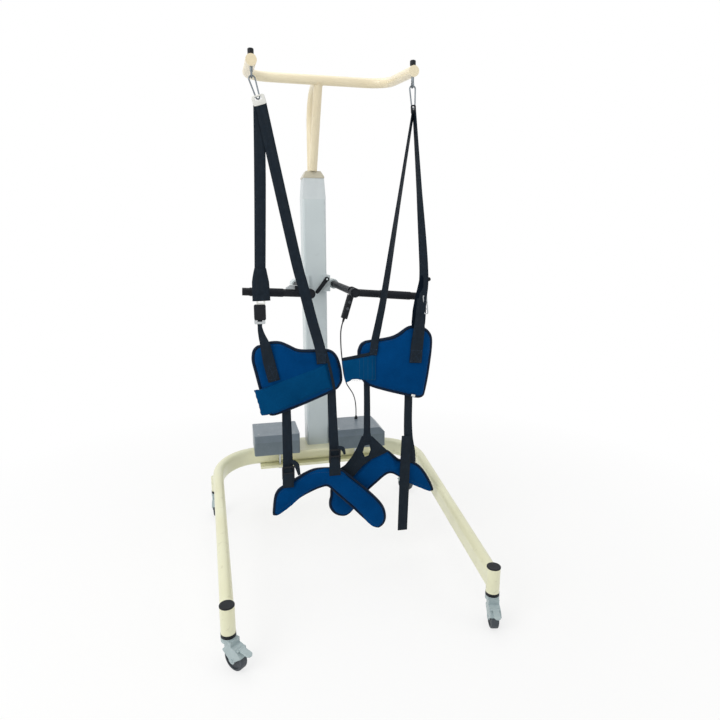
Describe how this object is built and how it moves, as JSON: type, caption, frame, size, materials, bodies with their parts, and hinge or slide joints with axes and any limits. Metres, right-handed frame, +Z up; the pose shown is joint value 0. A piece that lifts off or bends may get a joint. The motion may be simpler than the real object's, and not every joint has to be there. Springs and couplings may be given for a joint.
{
  "type": "patient lift hoist",
  "caption": "Standing and walking hoist: wheeled U-shaped base, electric lifting mast, overhead yoke with a hanging padded harness, fold-up handles and a corded hand control.",
  "frame": {"origin": "On the floor, under the middle of the footprint.", "axes": "+X to the right seen from the front, +Y to the back where the mast stands, +Z up; the legs point to -Y."},
  "size_m": [0.9972, 1.1557, 1.873],
  "materials": {
    "frame_paint": "satin cream paint",
    "mast_paint": "satin light grey paint",
    "collar_plastic": "smooth pale grey",
    "inner_metal": "satin",
    "bright_steel": "bright",
    "actuator_paint": "matt",
    "black_plastic": "fine matt",
    "boot_rubber": "matt",
    "box_plastic": "fine grain",
    "lid_plastic": "fine grain",
    "battery_plastic": "matt",
    "board_resin": "satin",
    "cable_rubber": "matt",
    "handle_paint": "satin black paint",
    "grip_rubber": "matt",
    "latch_metal": "satin",
    "button_plastic": "smooth",
    "webbing": "woven dark navy",
    "pad_fabric": "soft blue cloth",
    "belt_fabric": "soft blue cloth",
    "caster_plastic": "satin light grey",
    "wheel_rubber": "matt dark grey"
  },
  "bodies": {
    "base": {"crossbar": "frame_paint", "leg_left": "frame_paint", "leg_right": "frame_paint", "base_plate": "frame_paint", "frame_bolts": "bright_steel", "socket_caps": "black_plastic", "swivel_bearings": "black_plastic", "mast_outer": "mast_paint", "mast_collar": "collar_plastic", "guide_pads": "collar_plastic", "lift_actuator": "actuator_paint", "battery_case": "box_plastic", "battery_lid": "lid_plastic", "battery": "battery_plastic", "control_case": "box_plastic", "control_lid": "lid_plastic", "control_board": "board_resin", "cable_gland": "black_plastic", "handset_cable": "cable_rubber"},
    "lift": {"mast_inner": "inner_metal", "actuator_rod": "bright_steel", "mast_flange": "frame_paint", "upright_front": "frame_paint", "upright_rear": "frame_paint", "yoke_tube": "frame_paint", "yoke_pegs": "bright_steel", "peg_knobs": "black_plastic"},
    "harness": {"hook_left": "bright_steel", "hook_right": "bright_steel", "straps_left": "webbing", "straps_right": "webbing", "buckles": "black_plastic", "waist_pad_left": "pad_fabric", "waist_pad_right": "pad_fabric", "belt_left": "belt_fabric", "belt_right": "belt_fabric", "thigh_pad_left": "pad_fabric", "thigh_pad_right": "pad_fabric"},
    "handle_carrier": {"handle_clamp": "mast_paint", "handle_arms": "handle_paint", "handset": "black_plastic", "cable_boot": "boot_rubber"},
    "lever": {"clamp_lever": "black_plastic"},
    "left_handle": {"handle_left": "handle_paint", "grip_left": "grip_rubber"},
    "right_handle": {"handle_right": "handle_paint", "grip_right": "grip_rubber"},
    "latch": {"fold_latch": "latch_metal"},
    "up_button": {"button_up": "button_plastic"},
    "down_button": {"button_down": "button_plastic"},
    "caster_front_left": {"fork_front_left": "caster_plastic"},
    "roller_front_left": {"wheel_front_left": "wheel_rubber"},
    "brake_front_left": {"pedal_front_left": "caster_plastic"},
    "caster_front_right": {"fork_front_right": "caster_plastic"},
    "roller_front_right": {"wheel_front_right": "wheel_rubber"},
    "brake_front_right": {"pedal_front_right": "caster_plastic"},
    "caster_rear_left": {"fork_rear_left": "caster_plastic"},
    "roller_rear_left": {"wheel_rear_left": "wheel_rubber"},
    "caster_rear_right": {"fork_rear_right": "caster_plastic"},
    "roller_rear_right": {"wheel_rear_right": "wheel_rubber"}
  },
  "joints": [
    {"name": "mast_lift", "type": "slide", "parent": "base", "child": "lift", "axis": [0, 0, 1], "range_m": [0, 0.45]},
    {"name": "harness_swing", "type": "hinge", "parent": "lift", "child": "harness", "pos_m": [0, -0.01444, 1.77474], "axis": [-1, 0, 0], "range_deg": [0, 20]},
    {"name": "handle_height", "type": "slide", "parent": "base", "child": "handle_carrier", "axis": [0, 0, 1], "range_m": [0, 0.12]},
    {"name": "clamp_turn", "type": "hinge", "parent": "handle_carrier", "child": "lever", "pos_m": [0.046, 0.45326, 1.084], "axis": [0, 1, 0], "range_deg": [0, 60]},
    {"name": "left_fold", "type": "hinge", "parent": "handle_carrier", "child": "left_handle", "pos_m": [-0.084, 0.06556, 1.06], "axis": [0, 1, 0], "range_deg": [0, 85]},
    {"name": "right_fold", "type": "hinge", "parent": "handle_carrier", "child": "right_handle", "pos_m": [0.084, 0.06556, 1.06], "axis": [0, -1, 0], "range_deg": [0, 85]},
    {"name": "latch_turn", "type": "hinge", "parent": "left_handle", "child": "latch", "pos_m": [-0.13278, 0.06556, 1.08459], "axis": [0, 1, 0], "range_deg": [0, 25], "stiffness_Nm_per_rad": 0.4, "springref_deg": -8.59},
    {"name": "press_up", "type": "slide", "parent": "handle_carrier", "child": "up_button", "axis": [0, 1, 0], "range_m": [0, 0.002], "stiffness_N_per_m": 600, "springref_m": -0.0008},
    {"name": "press_down", "type": "slide", "parent": "handle_carrier", "child": "down_button", "axis": [0, 1, 0], "range_m": [0, 0.002], "stiffness_N_per_m": 600, "springref_m": -0.0008},
    {"name": "swivel_front_left", "type": "hinge", "parent": "base", "child": "caster_front_left", "pos_m": [-0.42927, -0.48444, 0.107], "axis": [0, 0, 1], "continuous": true},
    {"name": "roll_front_left", "type": "hinge", "parent": "caster_front_left", "child": "roller_front_left", "pos_m": [-0.4109, -0.50557, 0.0375], "axis": [0.7547, 0.6561, 0], "continuous": true},
    {"name": "brake_front_left", "type": "hinge", "parent": "caster_front_left", "child": "brake_front_left", "pos_m": [-0.3939, -0.52513, 0.0785], "axis": [0.7547, 0.6561, 0], "range_deg": [0, 12]},
    {"name": "swivel_front_right", "type": "hinge", "parent": "base", "child": "caster_front_right", "pos_m": [0.42927, -0.48444, 0.107], "axis": [0, 0, 1], "continuous": true},
    {"name": "roll_front_right", "type": "hinge", "parent": "caster_front_right", "child": "roller_front_right", "pos_m": [0.42249, -0.51161, 0.0375], "axis": [0.9703, -0.2419, 0], "continuous": true},
    {"name": "brake_front_right", "type": "hinge", "parent": "caster_front_right", "child": "brake_front_right", "pos_m": [0.41623, -0.53675, 0.0785], "axis": [0.9703, -0.2419, 0], "range_deg": [0, 12]},
    {"name": "swivel_rear_left", "type": "hinge", "parent": "base", "child": "caster_rear_left", "pos_m": [-0.475, 0.51556, 0.107], "axis": [0, 0, 1], "continuous": true},
    {"name": "roll_rear_left", "type": "hinge", "parent": "caster_rear_left", "child": "roller_rear_left", "pos_m": [-0.47744, 0.48767, 0.0375], "axis": [0.9962, -0.0872, 0], "continuous": true},
    {"name": "swivel_rear_right", "type": "hinge", "parent": "base", "child": "caster_rear_right", "pos_m": [0.475, 0.51556, 0.107], "axis": [0, 0, 1], "continuous": true},
    {"name": "roll_rear_right", "type": "hinge", "parent": "caster_rear_right", "child": "roller_rear_right", "pos_m": [0.45626, 0.53637, 0.0375], "axis": [-0.7431, -0.6691, 0], "continuous": true}
  ]
}
